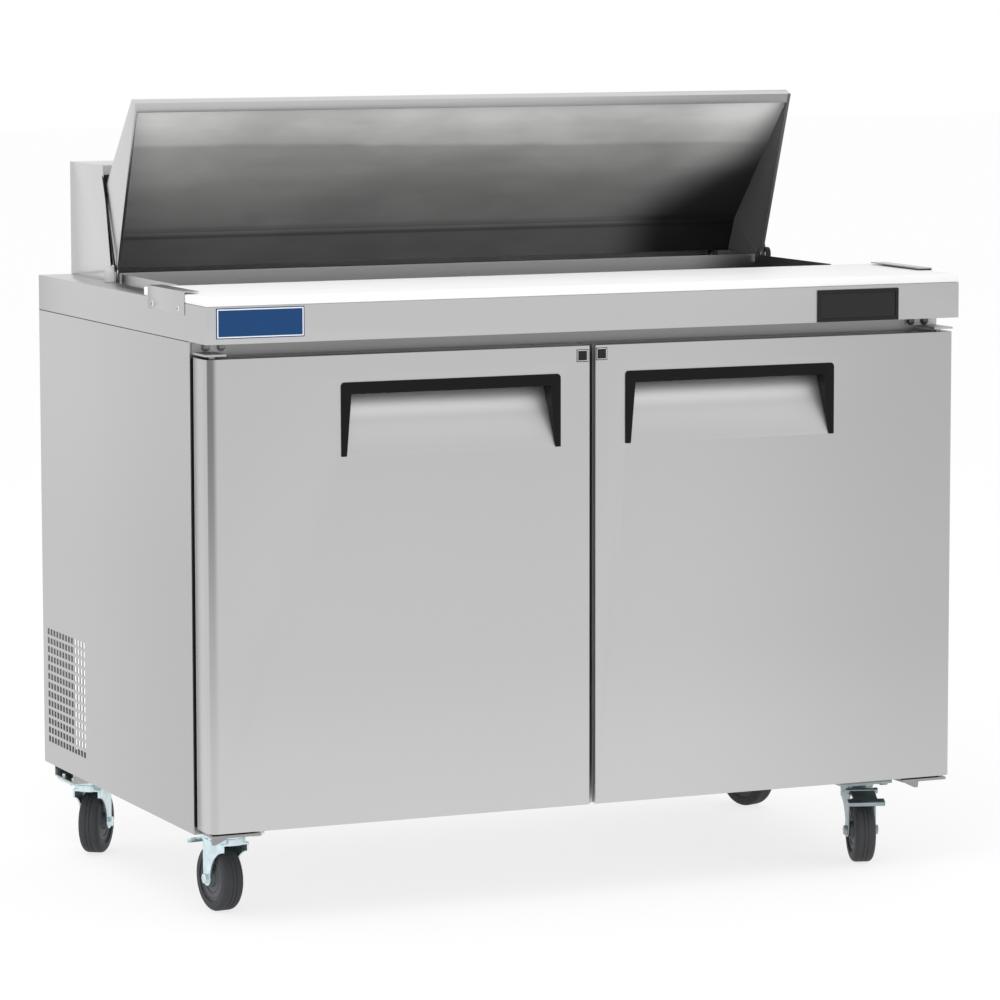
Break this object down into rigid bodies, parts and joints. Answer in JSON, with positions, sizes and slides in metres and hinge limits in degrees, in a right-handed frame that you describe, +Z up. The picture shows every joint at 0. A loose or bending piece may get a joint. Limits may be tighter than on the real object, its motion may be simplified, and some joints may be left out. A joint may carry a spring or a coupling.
{
  "type": "sandwich prep table",
  "caption": "Refrigerated sandwich prep table with an open pan-well lid, a full-width cutting board, two doors with pocket handles, and swivel casters.",
  "frame": {"origin": "On the floor, in the middle of the overall box seen from above.", "axes": "+X runs to the right as the doors are faced, +Y runs from the doors to the back, and +Z is up."},
  "size_m": [1.231, 0.763, 1.1961],
  "materials": {
    "stainless": "fine brushed grain",
    "liner": "satin",
    "foam": "matte closed foam",
    "zinc": "zinc plated, semi-gloss",
    "black_plastic": "matte",
    "dark_window": "gloss",
    "blue_plate": "semi-gloss",
    "grey_plastic": "matte",
    "white_wire": "plastic coated, gloss",
    "coil": "satin",
    "compressor_black": "semi-gloss",
    "board": "matte",
    "seal": "matte",
    "tyre": "matte"
  },
  "bodies": {
    "cabinet": {"left_side_panel": "stainless", "right_side_panel": "stainless", "back_panel": "liner", "base_pan": "liner", "base_rails": "liner", "front_frame": "stainless", "insulation": "foam", "inner_liner": "liner", "worktop": "stainless", "worktop_core": "foam", "pan_well": "liner", "hood": "stainless", "pivot_caps": "grey_plastic", "board_clips": "stainless", "small_bolts": "zinc", "controller_bezel": "black_plastic", "controller_window": "dark_window", "name_plate": "blue_plate", "top_hinges": "stainless", "bottom_hinges": "stainless", "hinge_bushes": "black_plastic", "left_shelf": "white_wire", "right_shelf": "white_wire", "shelf_posts": "stainless", "evaporator_coil": "coil", "evaporator_cover": "stainless", "compressor": "compressor_black", "condenser_coil": "coil", "fan_shroud": "black_plastic", "drip_pan": "liner", "cord_inlet": "black_plastic", "caster_plates": "zinc"},
    "left_door": {"left_door_skin": "stainless", "left_door_core": "foam", "left_door_gasket": "seal", "left_door_handle": "black_plastic"},
    "right_door": {"right_door_skin": "stainless", "right_door_core": "foam", "right_door_gasket": "seal", "right_door_handle": "black_plastic"},
    "lid": {"lid_shell": "stainless", "lid_panel": "foam", "lid_pins": "zinc"},
    "cutting_board": {"cutting_board": "board"},
    "evaporator_fan": {"evaporator_fan": "black_plastic"},
    "condenser_fan": {"condenser_fan": "black_plastic"},
    "caster_front_left": {"caster_fork_1": "zinc"},
    "wheel_front_left": {"caster_wheel_1": "grey_plastic", "caster_tyre_1": "tyre"},
    "brake_front_left": {"brake_pedal_1": "zinc"},
    "caster_front_right": {"caster_fork_2": "zinc"},
    "wheel_front_right": {"caster_wheel_2": "grey_plastic", "caster_tyre_2": "tyre"},
    "brake_front_right": {"brake_pedal_2": "zinc"},
    "caster_rear_left": {"caster_fork_3": "zinc"},
    "wheel_rear_left": {"caster_wheel_3": "grey_plastic", "caster_tyre_3": "tyre"},
    "caster_rear_right": {"caster_fork_4": "zinc"},
    "wheel_rear_right": {"caster_wheel_4": "grey_plastic", "caster_tyre_4": "tyre"}
  },
  "joints": [
    {"name": "left_door_hinge", "type": "hinge", "parent": "cabinet", "child": "left_door", "pos_m": [-0.592, -0.349, 0.5], "axis": [0, 0, 1], "range_deg": [-110, 0]},
    {"name": "right_door_hinge", "type": "hinge", "parent": "cabinet", "child": "right_door", "pos_m": [0.592, -0.349, 0.5], "axis": [0, 0, 1], "range_deg": [0, 110]},
    {"name": "lid_hinge", "type": "hinge", "parent": "cabinet", "child": "lid", "pos_m": [0, 0.1795, 0.928], "axis": [1, 0, 0], "range_deg": [0, 70]},
    {"name": "cutting_board_pull", "type": "slide", "parent": "cabinet", "child": "cutting_board", "axis": [0, -1, 0], "range_m": [0, 0.12]},
    {"name": "evaporator_fan_spin", "type": "hinge", "parent": "cabinet", "child": "evaporator_fan", "pos_m": [0, 0.2705, 0.6625], "axis": [0, 1, 0], "continuous": true},
    {"name": "condenser_fan_spin", "type": "hinge", "parent": "cabinet", "child": "condenser_fan", "pos_m": [-0.1806, 0.2951, 0.2412], "axis": [0, 1, 0], "continuous": true},
    {"name": "caster_front_left_swivel", "type": "hinge", "parent": "cabinet", "child": "caster_front_left", "pos_m": [-0.526, -0.2225, 0.11], "axis": [0, 0, 1], "continuous": true},
    {"name": "wheel_front_left_spin", "type": "hinge", "parent": "caster_front_left", "child": "wheel_front_left", "pos_m": [-0.52966, -0.19272, 0.05], "axis": [-0.9925, -0.1219, 0], "continuous": true},
    {"name": "brake_front_left_press", "type": "hinge", "parent": "caster_front_left", "child": "brake_front_left", "pos_m": [-0.53039, -0.18677, 0.1135], "axis": [-0.9925, -0.1219, 0], "range_deg": [0, 8]},
    {"name": "caster_front_right_swivel", "type": "hinge", "parent": "cabinet", "child": "caster_front_right", "pos_m": [0.526, -0.2225, 0.11], "axis": [0, 0, 1], "continuous": true},
    {"name": "wheel_front_right_spin", "type": "hinge", "parent": "caster_front_right", "child": "wheel_front_right", "pos_m": [0.51723, -0.25119, 0.05], "axis": [0.9563, -0.2924, 0], "continuous": true},
    {"name": "brake_front_right_press", "type": "hinge", "parent": "caster_front_right", "child": "brake_front_right", "pos_m": [0.51547, -0.25693, 0.1135], "axis": [0.9563, -0.2924, 0], "range_deg": [0, 8]},
    {"name": "caster_rear_left_swivel", "type": "hinge", "parent": "cabinet", "child": "caster_rear_left", "pos_m": [-0.568, 0.2895, 0.11], "axis": [0, 0, 1], "continuous": true},
    {"name": "wheel_rear_left_spin", "type": "hinge", "parent": "caster_rear_left", "child": "wheel_rear_left", "pos_m": [-0.55037, 0.31377, 0.05], "axis": [-0.809, 0.5878, 0], "continuous": true},
    {"name": "caster_rear_right_swivel", "type": "hinge", "parent": "cabinet", "child": "caster_rear_right", "pos_m": [0.568, 0.2895, 0.11], "axis": [0, 0, 1], "continuous": true},
    {"name": "wheel_rear_right_spin", "type": "hinge", "parent": "caster_rear_right", "child": "wheel_rear_right", "pos_m": [0.57727, 0.26097, 0.05], "axis": [0.9511, 0.309, 0], "continuous": true}
  ]
}
